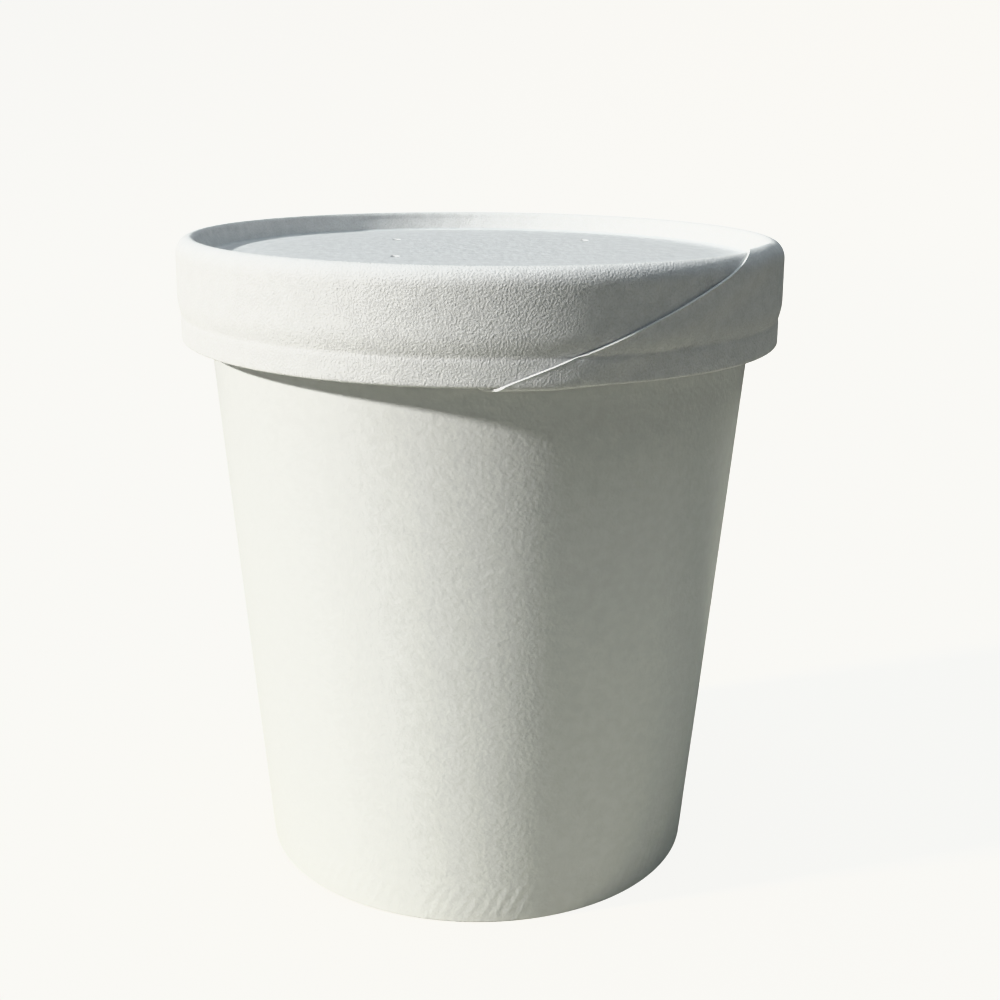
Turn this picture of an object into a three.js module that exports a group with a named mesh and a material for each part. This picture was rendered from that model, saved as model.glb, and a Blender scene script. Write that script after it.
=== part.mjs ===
// Paper soup container with its paper lid pressed on.
// Millimetres, +Z up. The origin is the centre of the foot and the front faces -Y.
// The container is shut, so the cup is one solid up to its rim.
import * as THREE from 'three';

// Driving dimensions of a 16 ounce soup cup, the size whose rim measures about 96 mm across.
const footRadius = 36.4;
const wallTaper = 0.083; // how much the wall's radius grows for each millimetre of height
const rimRadius = 47.75;
const rimTop = 99.8;
const rimBead = 1.7; // radius of the rolled rim's round section
const boardThickness = 0.5;
const clearance = 0.3; // left between pieces that press on each other in the real container

// Foot: the wall is turned up inside round the base disc, which sits above the table.
const footEdge = 0.3; // radius of the fold's two corners
const footInnerRadius = 35.2;
const baseHeight = 7;
const baseThickness = 0.6;
const baseDiscRadius = 35.4;
const recessTopRadius = 35.8;

// Lid: a rolled band with a folded hem, and a disc held low inside the band.
const lidTop = 103.85;
const skirtBottom = 87.9;
const hemRadius = 48.17;
const hemInnerRadius = 46.95;
const hemHeight = 3.5;
const hemEdge = 0.3; // radius of the fold at the hem's lower edge
const grooveRadius = 48.06; // the band is narrowest just over the hem
const grooveHeight = 4.05; // above the skirt's lower edge, as faceStart is
const faceStart = 7;
const faceRadius = 48.58; // where the band passes over the cup's rim
const bandInnerRadius = 48.05;
const crestRadius = 46.3;
const crestSpan = 2.2; // from the crest out to the band's face
const crestDrop = 2.65; // height over which the band's face turns in to the crest
const crestInnerRadius = 0.95;
const innerFootRadius = 44.3;
const panelDome = 0.85;
const domePower = 5; // the disc rises near its edge and is almost level in the middle
const panelSupportRadius = 44;

// Seam of the band: its outer ply ends in a slanted raw edge on the front.
const seamStartDegrees = 1.7; // from the front towards +X, at the skirt's lower edge
const seamDegreesPerMillimetre = 3.18; // advance round the band for each millimetre up its face
const seamEdgeDegrees = 0.2;
const plyThickness = 0.35;
const plyFullDegrees = 8; // stretch of the outer ply that lies on the ply under it
const plyFadeDegrees = 20; // where it has come down to the band's own radius

const roundSegments = 72;

const { degToRad, lerp, smoothstep } = THREE.MathUtils;

function wallRadius(height) {
  return footRadius + wallTaper * height;
}

function arc(x, y, radiusX, radiusY, fromDegrees, toDegrees, steps) {
  const curve = new THREE.EllipseCurve(
    x, y, radiusX, radiusY, degToRad(fromDegrees), degToRad(toDegrees),
  );
  return curve.getPoints(steps);
}

function point(radius, height) {
  return new THREE.Vector2(radius, height);
}

// Turns a half outline, from its lower end on the axis to its upper end, into a round solid.
function turned(outline) {
  const geometry = new THREE.LatheGeometry(outline, roundSegments);
  geometry.rotateX(Math.PI / 2);
  return geometry;
}

function cupGeometry() {
  const beadRadius = rimRadius - rimBead;
  const beadHeight = rimTop - rimBead;
  const recessTop = baseHeight + baseThickness + clearance;
  return turned([
    point(0, recessTop),
    point(recessTopRadius, recessTop),
    ...arc(footInnerRadius + footEdge, footEdge, footEdge, footEdge, 180, 270, 2),
    ...arc(footRadius - footEdge, footEdge, footEdge, footEdge, 270, 360, 2),
    point(wallRadius(rimTop / 3), rimTop / 3),
    point(wallRadius(rimTop * 2 / 3), rimTop * 2 / 3),
    ...arc(beadRadius, beadHeight, rimBead, rimBead, -150, 90, 9),
    point(0, rimTop),
  ]);
}

function baseDiscGeometry() {
  return turned([
    point(0, baseHeight),
    point(baseDiscRadius, baseHeight),
    point(baseDiscRadius, baseHeight + baseThickness),
    point(0, baseHeight + baseThickness),
  ]);
}

// The lid's disc is flat under the band and bulges a little inside it.
function lidPanelGeometry() {
  const underside = rimTop + clearance;
  const panelRadius = bandInnerRadius - clearance;
  const rings = 7;
  const lower = [];
  const upper = [];
  for (let ring = 0; ring <= rings; ring += 1) {
    const radius = panelSupportRadius * ring / rings;
    const rise = panelDome * (1 - (radius / panelSupportRadius) ** domePower);
    lower.push(point(radius, underside + rise));
    upper.unshift(point(radius, underside + boardThickness + rise));
  }
  return turned([
    ...lower,
    point(panelRadius, underside),
    point(panelRadius, underside + boardThickness),
    ...upper,
  ]);
}

// Face of the band that shows, from the hem's lower edge up over the crest to the disc.
function bandFace() {
  const footHeight = rimTop + clearance + boardThickness + clearance;
  const crestStart = lidTop - crestDrop;
  const crestEnd = lidTop - crestInnerRadius;
  const innerEdge = crestRadius - crestInnerRadius;
  const hem = [
    point(hemRadius - hemEdge, skirtBottom),
    point(hemRadius, skirtBottom + hemEdge),
    point(hemRadius, skirtBottom + hemHeight / 2),
    point(hemRadius, skirtBottom + hemHeight),
    point(grooveRadius, skirtBottom + grooveHeight),
  ];
  const widening = [1, 2, 3].map((step) => point(
    lerp(grooveRadius, faceRadius, Math.sin(step / 3 * Math.PI / 2)),
    skirtBottom + lerp(grooveHeight, faceStart, step / 3),
  ));
  const face = [1, 2, 3].map((step) => point(
    lerp(faceRadius, crestRadius + crestSpan, step / 4),
    lerp(skirtBottom + faceStart, crestStart, step / 4),
  ));
  return [
    ...hem,
    ...widening,
    ...face,
    ...arc(crestRadius, crestStart, crestSpan, crestDrop, 0, 90, 6),
    ...arc(crestRadius, crestEnd, crestInnerRadius, crestInnerRadius, 90, 180, 3).slice(1),
    point((innerEdge + innerFootRadius) / 2, (crestEnd + footHeight) / 2),
    point(innerFootRadius, footHeight),
  ];
}

// Side of the band that faces the disc and the cup, from the disc's edge down to the hem.
function bandBack(footHeight) {
  const flatSteps = 9;
  const flat = [];
  for (let step = 1; step <= flatSteps; step += 1) {
    flat.push(point(lerp(innerFootRadius, bandInnerRadius, step / flatSteps), footHeight));
  }
  return {
    flatSteps,
    points: [
      ...flat,
      point(bandInnerRadius, skirtBottom + faceStart),
      point(hemInnerRadius, skirtBottom + hemHeight),
      point(hemInnerRadius, skirtBottom + hemEdge),
      point(hemInnerRadius + hemEdge, skirtBottom),
    ],
  };
}

// Rows of the band's surface. Each has its place in the outline, the direction in which the
// outer ply stands proud there, and how far round the band the seam has come.
function bandRows() {
  const face = bandFace();
  const back = bandBack(face.at(-1).y);
  const rows = [];
  let length = 0;
  face.forEach((place, index) => {
    const previous = face[Math.max(index - 1, 0)];
    const next = face[Math.min(index + 1, face.length - 1)];
    const along = next.clone().sub(previous).normalize();
    const proud = index === 0 ? point(0, 0) : point(along.y, -along.x);
    length += place.distanceTo(previous);
    rows.push({ place, proud, seam: seamStartDegrees + seamDegreesPerMillimetre * length });
  });
  const seamEnd = rows.at(-1).seam;
  back.points.forEach((place, index) => {
    const share = Math.min((index + 1) / back.flatSteps, 1);
    rows.push({ place, proud: point(0, 0), seam: lerp(seamEnd, seamStartDegrees, share) });
  });
  return rows;
}

// Degrees past the seam of each column of the band's surface, and the ply's height there.
function bandColumns() {
  const columns = [{ degrees: 0, height: 0 }];
  for (let step = 0; step < roundSegments; step += 1) {
    const degrees = seamEdgeDegrees + (360 - seamEdgeDegrees) * step / roundSegments;
    const fade = smoothstep(degrees, plyFullDegrees, plyFadeDegrees);
    columns.push({ degrees, height: plyThickness * (1 - fade) });
  }
  return columns;
}

// The band is a ring-shaped lattice whose columns all slant as the seam does, so that the
// seam's edge runs along one column.
function lidBandGeometry() {
  const rows = bandRows();
  const columns = bandColumns();
  const vertices = rows.flatMap((row) => columns.map((column) => {
    const angle = degToRad(row.seam + column.degrees);
    const radius = row.place.x + row.proud.x * column.height;
    const height = row.place.y + row.proud.y * column.height;
    return new THREE.Vector3(radius * Math.sin(angle), -radius * Math.cos(angle), height);
  }));
  const indices = [];
  for (let row = 0; row < rows.length; row += 1) {
    for (let column = 0; column < columns.length; column += 1) {
      const nextRow = (row + 1) % rows.length;
      const nextColumn = (column + 1) % columns.length;
      const a = row * columns.length + column;
      const b = row * columns.length + nextColumn;
      const c = nextRow * columns.length + nextColumn;
      const d = nextRow * columns.length + column;
      const acIsShorter = vertices[a].distanceTo(vertices[c]) < vertices[b].distanceTo(vertices[d]);
      indices.push(...(acIsShorter ? [a, b, c, a, c, d] : [a, b, d, b, c, d]));
    }
  }
  const geometry = new THREE.BufferGeometry().setFromPoints(vertices);
  geometry.setIndex(indices);
  geometry.computeVertexNormals();
  return geometry;
}

function piece(name, geometry, color, roughness) {
  const material = new THREE.MeshStandardMaterial({ color, roughness, metalness: 0 });
  const mesh = new THREE.Mesh(geometry, material);
  mesh.name = name;
  return mesh;
}

const container = new THREE.Group();
container.add(piece('cup', cupGeometry(), 0xf1f2ee, 0.42));
container.add(piece('base_disc', baseDiscGeometry(), 0xeff0ec, 0.55));

const lid = new THREE.Group();
lid.add(piece('lid_band', lidBandGeometry(), 0xeef0ef, 0.6));
lid.add(piece('lid_panel', lidPanelGeometry(), 0xeceeee, 0.5));
container.add(lid);

export default container;
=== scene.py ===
import math

import bpy
from mathutils import Matrix, Vector


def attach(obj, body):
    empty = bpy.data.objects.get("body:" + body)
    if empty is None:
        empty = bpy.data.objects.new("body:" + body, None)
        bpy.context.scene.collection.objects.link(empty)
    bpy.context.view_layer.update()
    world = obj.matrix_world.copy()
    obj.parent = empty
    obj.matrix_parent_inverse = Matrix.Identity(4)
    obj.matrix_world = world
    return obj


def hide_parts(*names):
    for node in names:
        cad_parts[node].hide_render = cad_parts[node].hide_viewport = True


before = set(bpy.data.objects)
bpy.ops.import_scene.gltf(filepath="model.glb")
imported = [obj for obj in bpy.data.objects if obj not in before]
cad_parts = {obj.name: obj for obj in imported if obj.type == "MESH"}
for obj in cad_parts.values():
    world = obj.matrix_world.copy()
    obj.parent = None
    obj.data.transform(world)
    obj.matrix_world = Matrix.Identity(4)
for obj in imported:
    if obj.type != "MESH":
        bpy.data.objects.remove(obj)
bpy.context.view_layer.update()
mm = 0.001
weldDistance = 0.001 * mm  # points closer than this are one
print("frame loaded")


def place(radius, height, degrees=0.0):
    # a point of the container, in mm and in degrees from the front towards +X
    angle = math.radians(degrees)
    return Vector((radius * math.sin(angle), -radius * math.cos(angle), height)) * mm


def corner(centre, radii, fromDegrees, toDegrees, steps):
    # a rounded corner of an outline, from one angle to the other
    points = []
    for step in range(steps + 1):
        angle = math.radians(fromDegrees + (toDegrees - fromDegrees) * step / steps)
        points.append((centre[0] + radii[0] * math.cos(angle), centre[1] + radii[1] * math.sin(angle)))
    return points


def straight(start, end, steps):
    # evenly spaced points after the start, up to the end
    points = []
    for step in range(1, steps + 1):
        share = step / steps
        points.append((start[0] + (end[0] - start[0]) * share, start[1] + (end[1] - start[1]) * share))
    return points


def smoothStep(value, low, high):
    share = min(max((value - low) / (high - low), 0.0), 1.0)
    return share * share * (3.0 - 2.0 * share)


def deselect():
    bpy.ops.object.select_all(action="DESELECT")


def drawEdge(name, points):
    # a single vertex is extruded from point to point
    deselect()
    bpy.ops.mesh.primitive_plane_add(size=mm, location=(0.0, 0.0, 0.0))
    piece = bpy.context.object
    piece.name = name
    piece.data.name = name
    bpy.ops.object.mode_set(mode="EDIT")
    bpy.ops.mesh.select_all(action="SELECT")
    bpy.ops.mesh.merge(type="CENTER")
    bpy.ops.transform.translate(value=points[0])
    for previous, point in zip(points, points[1:]):
        bpy.ops.mesh.extrude_vertices_move(TRANSFORM_OT_translate={"value": point - previous})
    return piece


def spinEdge(piece, degrees, steps, closed):
    # the drawn edge is turned round the container's axis
    bpy.ops.object.mode_set(mode="OBJECT")
    modifier = piece.modifiers.new("spin", "SCREW")
    modifier.angle = math.radians(degrees)
    modifier.steps = steps
    modifier.render_steps = steps
    modifier.use_merge_vertices = closed
    modifier.merge_threshold = weldDistance
    bpy.ops.object.modifier_apply(modifier=modifier.name)
    bpy.ops.object.mode_set(mode="EDIT")
    bpy.ops.mesh.select_all(action="SELECT")
    if closed:
        bpy.ops.mesh.remove_doubles(threshold=weldDistance)
    bpy.ops.mesh.normals_make_consistent(inside=False)
    bpy.ops.object.mode_set(mode="OBJECT")


def spinSolid(name, outline, columns):
    # a half outline that starts and ends on the axis becomes a closed round solid
    piece = drawEdge(name, [place(radius, height) for radius, height in outline])
    spinEdge(piece, degrees=360, steps=columns, closed=True)
    return piece


def angleOf(point):
    # degrees from the front towards +X, as in place()
    return math.degrees(math.atan2(point.x, -point.y))


def weigh(piece, name, weightOf):
    # a vertex group says how far each point of the piece takes part in a displacement
    group = piece.vertex_groups.new(name=name)
    for vertex in piece.data.vertices:
        weight = weightOf(vertex)
        if weight > 0.0:
            group.add([vertex.index], weight, "REPLACE")


def displace(piece, group, distance):
    # the group's points move outwards, in mm
    bpy.context.view_layer.objects.active = piece
    modifier = piece.modifiers.new("displace", "DISPLACE")
    modifier.strength = distance * mm
    modifier.mid_level = 0.0
    modifier.vertex_group = group
    bpy.ops.object.modifier_apply(modifier=modifier.name)


def smoothPiece(piece, degrees):
    deselect()
    piece.select_set(True)
    bpy.context.view_layer.objects.active = piece
    bpy.ops.object.shade_smooth_by_angle(angle=math.radians(degrees))


# Lengths are in mm unless a note says otherwise, and the main ones are those of the solids.
cup = dict(
    footRadius=36.4,
    taper=0.083,  # growth of the wall's radius for each mm of height
    rimRadius=47.75,
    rimTop=99.8,
    rimBead=1.7,
    rimStart=-150.0,  # degrees round the bead's section, where it leaves the wall
    rimNeck=0.5,  # height left between the wall and the bead
    recessTop=7.9,
    recessRadius=35.8,
    innerPlyRadius=35.2,
    innerPlyTop=6.3,
    innerPlyRound=0.08,  # rounding of the inner ply's raw edge
    innerPlyLap=0.45,  # width of that edge
    innerPlyGap=0.15,  # rise from it to the wall behind
    fold=0.42,  # radius of the fold the cup stands on
    closeRows=8.0,  # below this height the wall has close rows, for the crimp marks
    ribs=115,  # crimp marks round the foot
    columnsPerRib=6,
    ribFrom=1.0,
    ribTo=7.0,
    ribFade=1.0,  # height over which a mark comes and goes
    ribLean=0.77,  # degrees to the right for each mm upwards
    ribDepth=0.05,
    ribSharpness=1.5,
    ribStrength=0.6,
    ribPatches=((9.0, 0.25, 1.2), (23.0, 0.15, 0.0)),  # patches round the foot, their share and shift
    plainEdge=0.3,  # the inner ply has no marks this near its raw edge
    innerMargin=0.1,  # a point this far inside the inner ply isn't on it
    wallMargin=0.2,  # a point this far inside the foot's radius isn't on the wall
    seamAt=180.0,
    seamWidth=11.0,  # degrees of overlap
    seamLead=0.3,  # degrees before the raw edge where the step starts
    seamFade=8.0,  # degrees past the overlap until the wall has come down again
    seamFoot=(0.2, 0.8),  # heights between which the step grows out of the fold
    seamStep=0.3,
    unevenness=0.12,
    waves=((12.0, 1.0, 0.0), (7.0, 0.7, 0.02), (19.0, 0.5, -0.01)),  # waves round it, share, twist per mm
    waveShift=37.0,  # degrees
    waveShare=0.22,
    wavesStart=(4.0, 30.0),  # heights between which the waves grow
    wavesEnd=(78.0, 92.0),  # and between which they die out under the rim
)


def makeCup():
    foot = cup["footRadius"]
    fold = cup["fold"]
    inner = cup["innerPlyRadius"]
    top = cup["innerPlyTop"]
    bead = cup["rimBead"]
    beadCentre = (cup["rimRadius"] - bead, cup["rimTop"] - bead)
    beadStart = corner(beadCentre, (bead, bead), cup["rimStart"], cup["rimStart"], steps=1)[0]

    def wall(height):
        return (foot + cup["taper"] * height, height)

    outline = [(0.0, cup["recessTop"]), (inner, cup["recessTop"]), (cup["recessRadius"], cup["recessTop"])]
    outline += [
        (cup["recessRadius"], top + cup["innerPlyGap"]),
        (inner + cup["innerPlyLap"], top),
        (inner + cup["innerPlyRound"], top),
        (inner, top - cup["innerPlyRound"]),
    ]
    outline += straight(outline[-1], (inner, fold), steps=14)[:-1]
    outline += corner((inner + fold, fold), (fold, fold), 180, 270, steps=4)
    outline += corner((wall(fold)[0] - fold, fold), (fold, fold), 270, 360, steps=4)
    outline += straight(wall(fold), wall(cup["closeRows"]), steps=19)
    outline += straight(wall(cup["closeRows"]), wall(beadStart[1] - cup["rimNeck"]), steps=30)
    outline += corner(beadCentre, (bead, bead), cup["rimStart"], 90, steps=16)
    outline += [(0.0, cup["rimTop"])]
    piece = spinSolid("soup_cup", outline, cup["ribs"] * cup["columnsPerRib"])

    def onWall(radius, height):
        return radius >= foot - cup["wallMargin"] and height <= beadStart[1]

    def ribWeight(vertex):
        # the marks lean, and are deeper in some patches than in others
        height = vertex.co.z / mm
        radius = vertex.co.xy.length / mm
        window = smoothStep(height, cup["ribFrom"], cup["ribFrom"] + cup["ribFade"])
        window *= 1.0 - smoothStep(height, cup["ribTo"] - cup["ribFade"], cup["ribTo"])
        nearRawEdge = height > top - cup["plainEdge"] and radius < foot
        if window == 0.0 or radius < inner - cup["innerMargin"] or nearRawEdge:
            return 0.0
        turn = math.radians(angleOf(vertex.co) - cup["ribLean"] * height)
        strength = cup["ribStrength"]
        for count, share, shift in cup["ribPatches"]:
            strength += share * math.sin(count * turn + shift)
        return window * strength * (0.5 + 0.5 * math.cos(cup["ribs"] * turn)) ** cup["ribSharpness"]

    def seamWeight(vertex):
        # the outer ply steps up at the seam and comes down slowly past the overlap
        height = vertex.co.z / mm
        if not onWall(vertex.co.xy.length / mm, height):
            return 0.0
        past = (angleOf(vertex.co) - cup["seamAt"] + 180.0) % 360.0 - 180.0 + cup["seamWidth"] / 2
        if past < -cup["seamLead"]:
            return 0.0
        fade = smoothStep(past, cup["seamWidth"], cup["seamWidth"] + cup["seamFade"])
        return (1.0 - fade) * smoothStep(height, *cup["seamFoot"])

    def waveWeight(vertex):
        # rolled board isn't quite round
        height = vertex.co.z / mm
        if not onWall(vertex.co.xy.length / mm, height):
            return 0.0
        turn = math.radians(angleOf(vertex.co) + cup["waveShift"])
        wave = 0.0
        for count, share, twist in cup["waves"]:
            wave += share * math.sin(count * turn + twist * height)
        ends = smoothStep(height, *cup["wavesStart"]), 1.0 - smoothStep(height, *cup["wavesEnd"])
        return (0.5 + cup["waveShare"] * wave) * ends[0] * ends[1]

    weigh(piece, "ribs", ribWeight)
    weigh(piece, "seam", seamWeight)
    weigh(piece, "waves", waveWeight)
    displace(piece, "ribs", cup["ribDepth"])
    displace(piece, "seam", cup["seamStep"])
    displace(piece, "waves", cup["unevenness"])
    smoothPiece(piece, degrees=50)
    return piece


base = dict(
    underside=7.0,
    thickness=0.6,
    radius=35.7,
    rings=(12.0, 24.0),  # radii of the rows on both faces
    flatRadius=31.0,
    shoulderStart=34.5,  # the disc's edge turns down here, to be glued between the plies
    shoulderEnd=35.4,
    shoulderDrop=0.65,
    edge=0.3,
    columns=240,
)


def makeBase():
    low = base["underside"]
    high = low + base["thickness"]
    radius = base["radius"]
    shoulderLow = low - base["shoulderDrop"]
    shoulder = (base["shoulderEnd"] - base["shoulderStart"], base["shoulderDrop"])
    outline = [(ring, low) for ring in (0.0, *base["rings"], base["flatRadius"])]
    outline += corner((base["shoulderStart"], shoulderLow), shoulder, 90, 0, steps=6)
    outline += [(radius, shoulderLow), (radius, high - base["edge"]), (radius - base["edge"], high)]
    outline += [(ring, high) for ring in (*reversed(base["rings"]), 0.0)]
    piece = spinSolid("base_board", outline, base["columns"])
    smoothPiece(piece, degrees=40)
    return piece


band = dict(
    skirtBottom=87.9,
    hemRadius=48.17,
    hemInnerRadius=46.95,
    hemHeight=3.5,
    hemFold=0.4,
    hemRound=0.3,  # height over which the hem's upper edge rounds in
    hemInset=(0.01, 0.06),  # how far in it is, at the hem's height and above the rounding
    grooveRadius=48.06,
    grooveHeight=4.05,
    wideningSteps=8,
    faceStart=7.0,
    faceRadius=48.58,
    crestRadius=46.3,
    crestSpan=2.2,
    crestDrop=2.65,
    crestInnerRadius=0.95,
    lidTop=103.85,
    innerFoot=(44.2, 100.66),
    seamStart=1.7,  # degrees from the front, at the skirt's lower edge
    seamAdvance=3.18,  # degrees for each mm up the face
    overlap=8.0,  # degrees
    fadeEnd=20.0,  # degrees, where the outer ply has come down again
    plyStep=0.37,
    curl=0.06,  # the end of the outer ply stands off a little
    curlEnd=1.5,  # degrees
    curlHeights=(100.0, 102.0),  # between these the curl dies out, under the crest
    cutSlant=0.2,  # degrees, the raw edge is cut at a slant
    paper=0.35,
    columns=620,
)


def makeBand():
    low = band["skirtBottom"]
    hem = band["hemRadius"]
    hemTop = low + band["hemHeight"]
    inner = band["hemInnerRadius"]
    fold = band["hemFold"]
    crestStart = band["lidTop"] - band["crestDrop"]
    crestEdge = band["crestRadius"] - band["crestInnerRadius"]
    crestEnd = band["lidTop"] - band["crestInnerRadius"]

    # the outline starts at the hem's raw edge inside, and ends where the band meets the disc
    outline = [(inner, hemTop)]
    outline += straight(outline[0], (inner, low + fold), steps=4)[:-1]
    outline += corner((inner + fold, low + fold), (fold, fold), 180, 270, steps=4)
    bottom = len(outline)
    outline += corner((hem - fold, low + fold), (fold, fold), 270, 360, steps=4)
    outline += straight((hem, low + fold), (hem, hemTop - band["hemRound"]), steps=5)
    outline += [(hem - band["hemInset"][0], hemTop), (hem - band["hemInset"][1], hemTop + band["hemRound"])]
    groove = (band["grooveRadius"], low + band["grooveHeight"])
    outline += [groove]
    for step in range(1, band["wideningSteps"] + 1):
        share = step / band["wideningSteps"]
        rise = math.sin(share * math.pi / 2)
        outline.append((
            groove[0] + (band["faceRadius"] - groove[0]) * rise,
            groove[1] + (low + band["faceStart"] - groove[1]) * share,
        ))
    outline += straight(outline[-1], (band["crestRadius"] + band["crestSpan"], crestStart), steps=11)[:-1]
    crest = (band["crestSpan"], band["crestDrop"])
    outline += corner((band["crestRadius"], crestStart), crest, 0, 90, steps=13)
    crest = (band["crestInnerRadius"], band["crestInnerRadius"])
    outline += corner((band["crestRadius"], crestEnd), crest, 90, 180, steps=7)[1:]
    outline += straight((crestEdge, crestEnd), band["innerFoot"], steps=7)

    # the strip's end is drawn along its slant, then spun round with the overlap
    lengths = [0.0]
    for before, after in zip(outline, outline[1:]):
        lengths.append(lengths[-1] + math.dist(before, after))
    slanted = []
    for (radius, height), length in zip(outline, lengths):
        slant = band["seamStart"] + band["seamAdvance"] * (length - lengths[bottom])
        slanted.append(place(radius, height, slant))
    piece = drawEdge("lid_paper_band", slanted)
    spinEdge(piece, 360.0 + band["overlap"], band["columns"], closed=False)

    rows = len(outline)
    columnTurn = (360.0 + band["overlap"]) / band["columns"]

    def pastEnd(vertex):
        # degrees round from the strip's outer end, whose column comes first
        return (vertex.index // rows) * columnTurn

    def plyWeight(vertex):
        # the outer ply lies over the strip's other end and comes down to the band's own radius
        return 1.0 - smoothStep(pastEnd(vertex), band["overlap"], band["fadeEnd"])

    def curlWeight(vertex):
        lower = 1.0 - smoothStep(vertex.co.z / mm, *band["curlHeights"])
        return (1.0 - smoothStep(pastEnd(vertex), 0.0, band["curlEnd"])) * lower

    weigh(piece, "outer_ply", plyWeight)
    weigh(piece, "curled_end", curlWeight)
    displace(piece, "outer_ply", band["plyStep"])
    displace(piece, "curled_end", band["curl"])
    thickness = piece.modifiers.new("paper", "SOLIDIFY")
    thickness.thickness = band["paper"] * mm
    thickness.offset = -1.0
    thickness.use_even_offset = True
    bpy.ops.object.modifier_apply(modifier=thickness.name)

    # only the raw edge's outer corner is turned, so that the cut shows its slant
    for vertex in piece.data.vertices:
        vertex.select = vertex.index < rows
    for edge in piece.data.edges:
        edge.select = max(edge.vertices) < rows
    for face in piece.data.polygons:
        face.select = False
    bpy.ops.object.mode_set(mode="EDIT")
    bpy.ops.transform.rotate(
        value=-math.radians(band["cutSlant"]), orient_axis="Z", center_override=(0.0, 0.0, 0.0),
    )
    bpy.ops.object.mode_set(mode="OBJECT")
    smoothPiece(piece, degrees=40)
    return piece


disc = dict(
    underside=100.1,
    board=0.5,
    dome=0.85,
    domePower=5,  # it rises near its edge and is almost level in the middle
    supportRadius=44.0,
    filletStart=43.35,  # the board turns up a little where it meets the band
    filletReach=0.25,  # past the support's radius
    filletRise=0.35,
    filletPower=2.5,
    filletRows=(0.0, 0.3, 0.55, 0.75, 0.9, 1.0),  # shares of the way across it
    filletFoot=0.4,  # past the support's radius, where the board is flat again
    flangeRing=46.0,
    radius=47.75,
    rings=(12.0, 20.0, 26.0, 31.0, 34.5, 37.0, 39.0, 40.5, 41.7, 42.6),
    columns=240,
)
vents = dict(
    places=((-15.2, 14.4), (17.4, 16.3), (-13.8, -12.7)),  # x and y
    sides=40,
    holeRadius=1.3,
    holeDepth=3.0,  # of the cutter, half of it above the board
    flapRadius=1.2,
    flapThickness=0.4,
    flapShift=0.1,  # the flap's straight side stays in the board
    hingeMargin=0.02,  # keeps the cut off the cylinder's own points
    lift=20.0,  # degrees
)


def domeRise(radius):
    return disc["dome"] * max(0.0, 1.0 - (radius / disc["supportRadius"]) ** disc["domePower"])


def makeVent(radius, thickness, centre, lift):
    # a half-round piece of board, its straight side at the centre and along Y
    deselect()
    bpy.ops.mesh.primitive_cylinder_add(
        vertices=vents["sides"], radius=radius * mm, depth=thickness * mm,
        location=(0.0, 0.0, -thickness * mm / 2),
    )
    piece = bpy.context.object
    bpy.ops.object.transform_apply(location=True, rotation=True, scale=True)
    bpy.ops.object.mode_set(mode="EDIT")
    bpy.ops.mesh.select_all(action="SELECT")
    bpy.ops.mesh.bisect(
        plane_co=(-vents["hingeMargin"] * mm, 0.0, 0.0), plane_no=(1.0, 0.0, 0.0),
        use_fill=True, clear_inner=True,
    )
    bpy.ops.mesh.select_all(action="SELECT")
    bpy.ops.transform.rotate(
        value=math.radians(lift), orient_axis="Y", center_override=(0.0, 0.0, 0.0),
    )
    bpy.ops.transform.translate(value=Vector(centre) * mm)
    bpy.ops.mesh.normals_make_consistent(inside=False)
    bpy.ops.object.mode_set(mode="OBJECT")
    return piece


def cutOrJoin(piece, tool, operation):
    deselect()
    bpy.context.view_layer.objects.active = piece
    modifier = piece.modifiers.new("boolean", "BOOLEAN")
    modifier.operation = operation
    modifier.solver = "EXACT"
    modifier.object = tool
    bpy.ops.object.modifier_apply(modifier=modifier.name)
    bpy.data.objects.remove(tool, do_unlink=True)


def makeDisc():
    low = disc["underside"]
    high = low + disc["board"]
    flange = disc["flangeRing"]
    radii = [0.0, *disc["rings"]]
    edge = disc["supportRadius"]
    turnUp = []
    for share in disc["filletRows"]:
        radius = disc["filletStart"] + (edge + disc["filletReach"] - disc["filletStart"]) * share
        turnUp.append((radius, high + domeRise(radius) + disc["filletRise"] * share ** disc["filletPower"]))
    outline = [(radius, low + domeRise(radius)) for radius in radii]
    outline += [(edge, low), (flange, low), (disc["radius"], low), (disc["radius"], high), (flange, high)]
    outline += [(edge + disc["filletFoot"], high), *reversed(turnUp)]
    outline += [(radius, high + domeRise(radius)) for radius in reversed(radii)]
    piece = spinSolid("lid_board", outline, disc["columns"])
    for x, y in vents["places"]:
        top = high + domeRise(math.hypot(x, y))
        depth = vents["holeDepth"]
        hole = makeVent(vents["holeRadius"], depth, (x, y, top + depth / 2), 0.0)
        cutOrJoin(piece, hole, "DIFFERENCE")
        hinge = (x - vents["flapShift"], y, top)
        flap = makeVent(vents["flapRadius"], vents["flapThickness"], hinge, -vents["lift"])
        cutOrJoin(piece, flap, "UNION")
    smoothPiece(piece, degrees=30)
    return piece


def linear(hexColour):
    # an sRGB hex colour as the renderer's linear one
    channels = []
    for start in (1, 3, 5):
        value = int(hexColour[start:start + 2], 16) / 255
        channels.append(value / 12.92 if value <= 0.04045 else ((value + 0.055) / 1.055) ** 2.4)
    return (*channels, 1.0)


def addNode(tree, kind, values=None, links=None, stops=(), **settings):
    # a node with its settings, values and links, and the places and colours of a ramp's stops
    node = tree.nodes.new(kind)
    for name, value in settings.items():
        setattr(node, name, value)
    for name, value in (values or {}).items():
        node.inputs[name].default_value = value
    for name, source in (links or {}).items():
        tree.links.new(source, node.inputs[name])
    for index, (position, colour) in enumerate(stops):
        elements = node.color_ramp.elements
        element = elements[index] if index < 2 else elements.new(position)
        element.position = position
        element.color = linear(colour)
    return node


def newMaterial(name):
    material = bpy.data.materials.new(name)
    material.use_nodes = True
    tree = material.node_tree
    tree.nodes.clear()
    return material, tree


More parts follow.
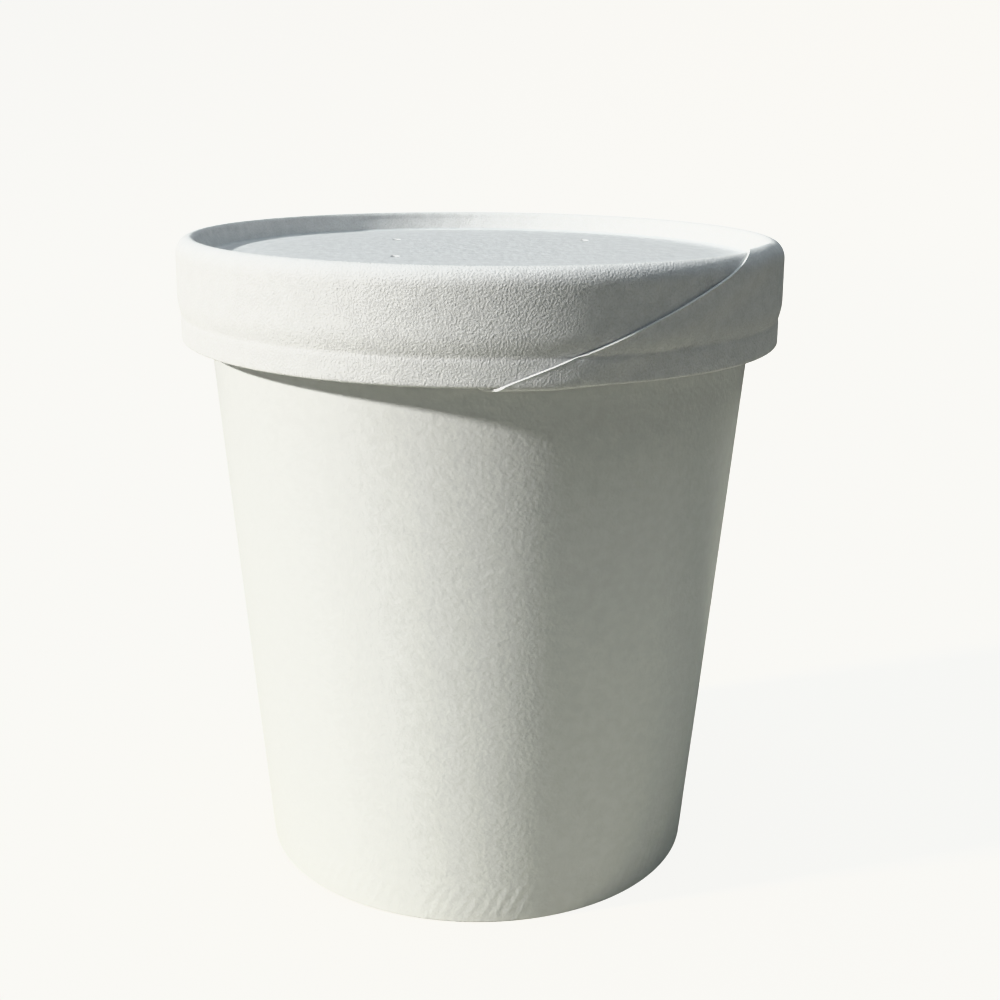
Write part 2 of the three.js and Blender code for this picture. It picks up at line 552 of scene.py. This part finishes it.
# Cup stock: bleached board with a thin film pressed on it. Half gloss, soft orange-peel relief.
coatedBoard = dict(
    light="#f3f4f2",
    dark="#eeefed",
    roughness=0.34,
    roughnessSpread=0.05,  # the film is a little duller over the clouds
    mottling=1.7,  # mm, clouds of fibre under the film
    relief=0.85,  # mm between the film's dimples
    reliefHeight=0.068,
    fibre=0.5,  # mm, drawn coarser than real fibres, which wouldn't show
    fibreHeight=0.018,
    grain=1.1,  # how much longer the fibres lie round the cup than up it
)


def coatedBoardMaterial():
    material, tree = newMaterial("coated_cup_board")
    plain = addNode(tree, "ShaderNodeTexCoord").outputs["Object"]
    spot = addNode(
        tree, "ShaderNodeMapping", {"Scale": (1.0, 1.0, coatedBoard["grain"])}, {"Vector": plain},
    ).outputs["Vector"]
    clouds = addNode(
        tree, "ShaderNodeTexNoise",
        {"Scale": 1 / (coatedBoard["mottling"] * mm), "Detail": 3.0}, {"Vector": spot},
    ).outputs["Fac"]
    colour = addNode(
        tree, "ShaderNodeValToRGB", links={0: clouds},
        stops=((0.35, coatedBoard["dark"]), (0.65, coatedBoard["light"])),
    ).outputs["Color"]
    dimples = addNode(
        tree, "ShaderNodeTexNoise",
        {"Scale": 1 / (coatedBoard["relief"] * mm), "Detail": 1.5}, {"Vector": spot},
    ).outputs["Fac"]
    fibres = addNode(
        tree, "ShaderNodeTexNoise",
        {"Scale": 1 / (coatedBoard["fibre"] * mm), "Detail": 2.0}, {"Vector": spot},
    ).outputs["Fac"]
    relief = addNode(
        tree, "ShaderNodeBump",
        {"Strength": 1.0, "Distance": coatedBoard["reliefHeight"] * mm}, {"Height": dimples},
    ).outputs["Normal"]
    fine = addNode(
        tree, "ShaderNodeBump", {"Strength": 1.0, "Distance": coatedBoard["fibreHeight"] * mm},
        {"Height": fibres, "Normal": relief},
    ).outputs["Normal"]
    glossy = coatedBoard["roughness"] - coatedBoard["roughnessSpread"]
    dull = coatedBoard["roughness"] + coatedBoard["roughnessSpread"]
    gloss = addNode(
        tree, "ShaderNodeMapRange", {"To Min": glossy, "To Max": dull}, {"Value": clouds},
    ).outputs["Result"]
    surface = addNode(
        tree, "ShaderNodeBsdfPrincipled", {"IOR": 1.5},
        {"Base Color": colour, "Roughness": gloss, "Normal": fine},
    )
    addNode(tree, "ShaderNodeOutputMaterial", links={"Surface": surface.outputs["BSDF"]})
    return material


# Lid band: uncoated bleached paper, embossed like eggshell by its felt. Matt, pebbled.
pebbledPaper = dict(
    light="#f5f5f4",
    dark="#ededec",
    paintedPitShade="#f7f7f6",  # painted shade in the hollows between the pebbles
    roughness=0.82,
    mottling=1.8,  # mm, clouds in the paper's own white
    pebble=0.31,  # mm across
    pebbleHeight=0.11,
    fibre=0.3,  # mm, drawn coarser than real fibres, which wouldn't show
    fibreHeight=0.02,
)


def pebbledPaperMaterial():
    material, tree = newMaterial("pebbled_lid_paper")
    spot = addNode(tree, "ShaderNodeTexCoord").outputs["Object"]
    clouds = addNode(
        tree, "ShaderNodeTexNoise",
        {"Scale": 1 / (pebbledPaper["mottling"] * mm), "Detail": 3.0}, {"Vector": spot},
    ).outputs["Fac"]
    colour = addNode(
        tree, "ShaderNodeValToRGB", links={0: clouds},
        stops=((0.35, pebbledPaper["dark"]), (0.65, pebbledPaper["light"])),
    ).outputs["Color"]
    pebbles = addNode(
        tree, "ShaderNodeTexNoise",
        {"Scale": 1 / (pebbledPaper["pebble"] * mm), "Detail": 1.0}, {"Vector": spot},
    ).outputs["Fac"]
    fibres = addNode(
        tree, "ShaderNodeTexNoise",
        {"Scale": 1 / (pebbledPaper["fibre"] * mm), "Detail": 2.0}, {"Vector": spot},
    ).outputs["Fac"]
    # painted shade: the hollows between the pebbles are darkened in the colour, as shade that falls into
    # them
    paintedHollowShade = addNode(
        tree, "ShaderNodeValToRGB", links={0: pebbles},
        stops=((0.35, pebbledPaper["paintedPitShade"]), (0.6, "#ffffff")),
    ).outputs["Color"]
    # inputs 0, 6 and 7 of a colour mix are its factor and its two colours
    colour = addNode(
        tree, "ShaderNodeMix", {0: 1.0}, {6: colour, 7: paintedHollowShade}, data_type="RGBA", blend_type="MULTIPLY",
    ).outputs[2]
    relief = addNode(
        tree, "ShaderNodeBump",
        {"Strength": 1.0, "Distance": pebbledPaper["pebbleHeight"] * mm}, {"Height": pebbles},
    ).outputs["Normal"]
    fine = addNode(
        tree, "ShaderNodeBump", {"Strength": 1.0, "Distance": pebbledPaper["fibreHeight"] * mm},
        {"Height": fibres, "Normal": relief},
    ).outputs["Normal"]
    surface = addNode(
        tree, "ShaderNodeBsdfPrincipled", {"IOR": 1.35, "Roughness": pebbledPaper["roughness"]},
        {"Base Color": colour, "Normal": fine},
    )
    addNode(tree, "ShaderNodeOutputMaterial", links={"Surface": surface.outputs["BSDF"]})
    return material


# Lid disc: calendered board, smoother than the band. A dull sheen and a faint grain along Y.
satinBoard = dict(
    light="#e9eaea",
    dark="#dfe1e1",
    roughness=0.55,
    mottling=2.2,  # mm
    grain=1.3,  # mm across
    grainStretch=0.6,  # width of the grain over its length
    grainHeight=0.12,
)


def satinBoardMaterial():
    material, tree = newMaterial("satin_disc_board")
    spot = addNode(tree, "ShaderNodeTexCoord").outputs["Object"]
    clouds = addNode(
        tree, "ShaderNodeTexNoise",
        {"Scale": 1 / (satinBoard["mottling"] * mm), "Detail": 3.0}, {"Vector": spot},
    ).outputs["Fac"]
    colour = addNode(
        tree, "ShaderNodeValToRGB", links={0: clouds},
        stops=((0.35, satinBoard["dark"]), (0.65, satinBoard["light"])),
    ).outputs["Color"]
    along = addNode(
        tree, "ShaderNodeMapping", {"Scale": (1.0, satinBoard["grainStretch"], 1.0)}, {"Vector": spot},
    ).outputs["Vector"]
    grain = addNode(
        tree, "ShaderNodeTexNoise",
        {"Scale": 1 / (satinBoard["grain"] * mm), "Detail": 2.5}, {"Vector": along},
    ).outputs["Fac"]
    relief = addNode(
        tree, "ShaderNodeBump",
        {"Strength": 1.0, "Distance": satinBoard["grainHeight"] * mm}, {"Height": grain},
    ).outputs["Normal"]
    surface = addNode(
        tree, "ShaderNodeBsdfPrincipled", {"IOR": 1.5, "Roughness": satinBoard["roughness"]},
        {"Base Color": colour, "Normal": relief},
    )
    addNode(tree, "ShaderNodeOutputMaterial", links={"Surface": surface.outputs["BSDF"]})
    return material


# Base stock: the cup's board with its matt side down. Long fibres show as faint streaks.
mattBoard = dict(
    light="#efefea",
    dark="#e4e4de",
    roughness=0.7,
    streak=(0.8, 4.0),  # mm, across and along the grain
    streakHeight=0.03,
)


def mattBoardMaterial():
    material, tree = newMaterial("matt_base_board")
    spot = addNode(tree, "ShaderNodeTexCoord").outputs["Object"]
    across, along = mattBoard["streak"]
    stretched = addNode(
        tree, "ShaderNodeMapping", {"Scale": (1.0, across / along, 1.0)}, {"Vector": spot},
    ).outputs["Vector"]
    streaks = addNode(
        tree, "ShaderNodeTexNoise", {"Scale": 1 / (across * mm), "Detail": 3.0}, {"Vector": stretched},
    ).outputs["Fac"]
    colour = addNode(
        tree, "ShaderNodeValToRGB", links={0: streaks},
        stops=((0.3, mattBoard["dark"]), (0.7, mattBoard["light"])),
    ).outputs["Color"]
    relief = addNode(
        tree, "ShaderNodeBump",
        {"Strength": 1.0, "Distance": mattBoard["streakHeight"] * mm}, {"Height": streaks},
    ).outputs["Normal"]
    surface = addNode(
        tree, "ShaderNodeBsdfPrincipled", {"IOR": 1.5, "Roughness": mattBoard["roughness"]},
        {"Base Color": colour, "Normal": relief},
    )
    addNode(tree, "ShaderNodeOutputMaterial", links={"Surface": surface.outputs["BSDF"]})
    return material


def dress(piece, material, node):
    # the piece gets its finish and stands for the node
    piece.data.materials.clear()
    piece.data.materials.append(material)
    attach(piece, "root")
    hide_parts(node)


# Camera, at the photograph's viewing angle.
view = dict(
    eye=(0.0, -228.5, 124.3),
    pitch=15.96,  # degrees down
    yaw=0.88,  # degrees towards +X
    roll=0.6,  # degrees
    lens=50.04,
    sensor=36.0,
    clip=(10.0, 20000.0),
)


def makeCamera():
    deselect()
    bpy.ops.object.camera_add()
    camera = bpy.context.object
    camera.name = "photo_view"
    turn = Matrix.Rotation(math.radians(-view["yaw"]), 4, "Z")
    turn = turn @ Matrix.Rotation(math.radians(90.0 - view["pitch"]), 4, "X")
    turn = turn @ Matrix.Rotation(math.radians(view["roll"]), 4, "Z")
    camera.matrix_world = Matrix.Translation(Vector(view["eye"]) * mm) @ turn
    camera.data.lens = view["lens"]
    camera.data.sensor_width = view["sensor"]
    camera.data.clip_start = view["clip"][0] * mm
    camera.data.clip_end = view["clip"][1] * mm
    bpy.context.scene.camera = camera


# The pale floor shows and takes the shadow. The unseen round table under it throws light back.
floor = dict(
    rings=(100.0, 300.0, 600.0),
    flat=900.0,
    sweep=400.0,  # radius of the curve up into the backdrop
    height=1600.0,
    columns=96,
    colour="#c9c6c0",
    roughness=0.9,
    glow="#fffefb",
    glowStrength=1.15,
    grains=900.0,  # for each metre
    grainHeight=0.05,
    grainStrength=0.15,
    bounceRadius=320.0,
    bounceCentre=(0.0, 90.0),
    bounceColour="#cccabc",
    bounceDepth=0.4,  # below the floor that shows
)


def makeFloor():
    outline = [(ring, 0.0) for ring in (0.0, *floor["rings"])]
    sweep = (floor["sweep"], floor["sweep"])
    outline += corner((floor["flat"], floor["sweep"]), sweep, -90, 0, steps=16)
    outline += [(floor["flat"] + floor["sweep"], floor["height"])]
    piece = drawEdge("floor", [place(radius, height) for radius, height in outline])
    spinEdge(piece, degrees=360, steps=floor["columns"], closed=True)
    smoothPiece(piece, degrees=40)
    material, tree = newMaterial("pale_floor")
    spot = addNode(tree, "ShaderNodeTexCoord").outputs["Object"]
    grain = addNode(
        tree, "ShaderNodeTexNoise", {"Scale": floor["grains"], "Detail": 2.0}, {"Vector": spot},
    ).outputs["Fac"]
    relief = addNode(
        tree, "ShaderNodeBump",
        {"Strength": floor["grainStrength"], "Distance": floor["grainHeight"] * mm}, {"Height": grain},
    ).outputs["Normal"]
    surface = addNode(
        tree, "ShaderNodeBsdfPrincipled",
        {
            "Base Color": linear(floor["colour"]),
            "Roughness": floor["roughness"],
            "Specular IOR Level": 0.0,
            "Emission Color": linear(floor["glow"]),
            "Emission Strength": floor["glowStrength"],
        },
        {"Normal": relief},
    )
    addNode(tree, "ShaderNodeOutputMaterial", links={"Surface": surface.outputs["BSDF"]})
    piece.data.materials.append(material)
    piece.visible_diffuse = False
    piece.visible_glossy = False
    piece.visible_shadow = False

    deselect()
    bpy.ops.mesh.primitive_circle_add(
        vertices=floor["columns"], radius=floor["bounceRadius"] * mm, fill_type="NGON",
        location=Vector((*floor["bounceCentre"], -floor["bounceDepth"])) * mm,
    )
    bounce = bpy.context.object
    bounce.name = "bounce_floor"
    material, tree = newMaterial("grey_table")
    surface = addNode(
        tree, "ShaderNodeBsdfPrincipled",
        {
            "Base Color": linear(floor["bounceColour"]),
            "Roughness": floor["roughness"],
            "Specular IOR Level": 0.0,
        },
    )
    addNode(tree, "ShaderNodeOutputMaterial", links={"Surface": surface.outputs["BSDF"]})
    bounce.data.materials.append(material)
    bounce.visible_camera = False


light = dict(
    azimuth=73.0,  # degrees from the front towards -X
    elevation=25.7,  # degrees
    strength=4.35,
    softness=4.0,  # degrees
    colour="#fffdf9",
    # the dim room round the container, from straight below to the soft panel straight above
    room=(
        (0.0, "#141414"),
        (0.49, "#1d1d1f"),
        (0.5, "#46484c"),
        (0.6, "#5a5e66"),
        (0.725, "#222326"),
        (0.875, "#1d1d1f"),
        (1.0, "#eefaff"),
    ),
    roomStrength=1.75,
)


def makeLight():
    azimuth = math.radians(light["azimuth"])
    elevation = math.radians(light["elevation"])
    towards = Vector((
        -math.sin(azimuth) * math.cos(elevation),
        -math.cos(azimuth) * math.cos(elevation),
        math.sin(elevation),
    ))
    deselect()
    bpy.ops.object.light_add(type="SUN")
    key = bpy.context.object
    key.name = "key_light"
    key.rotation_euler = towards.to_track_quat("Z", "Y").to_euler()
    key.data.energy = light["strength"]
    key.data.angle = math.radians(light["softness"])
    key.data.color = linear(light["colour"])[:3]

    world = bpy.data.worlds.new("studio_room")
    bpy.context.scene.world = world
    world.use_nodes = True
    tree = world.node_tree
    tree.nodes.clear()
    spot = addNode(tree, "ShaderNodeTexCoord").outputs["Generated"]
    height = addNode(tree, "ShaderNodeSeparateXYZ", links={"Vector": spot}).outputs["Z"]
    share = addNode(
        tree, "ShaderNodeMapRange", {"From Min": -1.0, "From Max": 1.0}, {"Value": height},
    ).outputs["Result"]
    room = addNode(tree, "ShaderNodeValToRGB", links={0: share}, stops=light["room"]).outputs["Color"]
    back = addNode(
        tree, "ShaderNodeBackground", {"Strength": light["roomStrength"]}, {"Color": room},
    ).outputs["Background"]
    addNode(tree, "ShaderNodeOutputWorld", links={"Surface": back})


makeCamera()
makeFloor()
makeLight()
bpy.context.scene.view_settings.view_transform = "Khronos PBR Neutral"
print("camera, floor and light made")

dress(makeCup(), coatedBoardMaterial(), "cup")
print("cup made")
dress(makeBase(), mattBoardMaterial(), "base_disc")
print("base made")
dress(makeBand(), pebbledPaperMaterial(), "lid_band")
dress(makeDisc(), satinBoardMaterial(), "lid_panel")
print("lid made")
